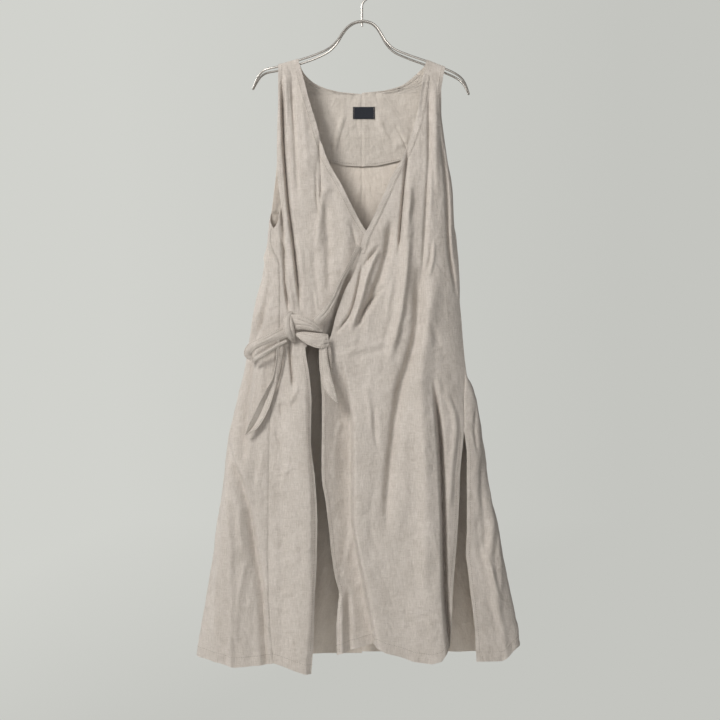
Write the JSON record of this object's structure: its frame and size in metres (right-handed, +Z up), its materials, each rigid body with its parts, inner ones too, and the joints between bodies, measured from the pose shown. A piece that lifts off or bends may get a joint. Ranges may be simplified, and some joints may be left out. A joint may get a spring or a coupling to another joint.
{
  "type": "wrap dress on a wire hanger",
  "caption": "Sleeveless linen wrap dress with a crossed V neck, side tie and flared skirt, hanging on a double wire hanger.",
  "frame": {"origin": "inside top of the hanger's hook, where a rod carries it", "axes": "+Z up, -Y out of the front of the dress, +X to the right of a viewer who faces the front"},
  "size_m": [0.6126, 0.1205, 1.309],
  "materials": {
    "linen": "matte, plain weave, washed and creased",
    "facing": "matte, plain weave",
    "patch": "matte, dark woven tape, bare",
    "wire": "satin"
  },
  "bodies": {
    "root": {"back_left": "linen", "back_right": "linen", "back_facing_left": "facing", "back_facing_right": "facing", "neck_patch": "patch", "front_under": "linen", "front_over": "linen", "front_under_neck_band": "linen", "front_over_neck_band": "linen", "tie_strap": "linen", "knot_wrap": "linen", "knot_band": "linen", "loop_right": "linen", "loop_left_outer": "linen", "loop_left_inner": "linen", "tail_left": "linen", "tail_left_inner": "linen", "tail_right": "linen", "tail_behind": "linen", "hanger_body": "wire", "hanger_hook": "wire"}
  },
  "joints": []
}
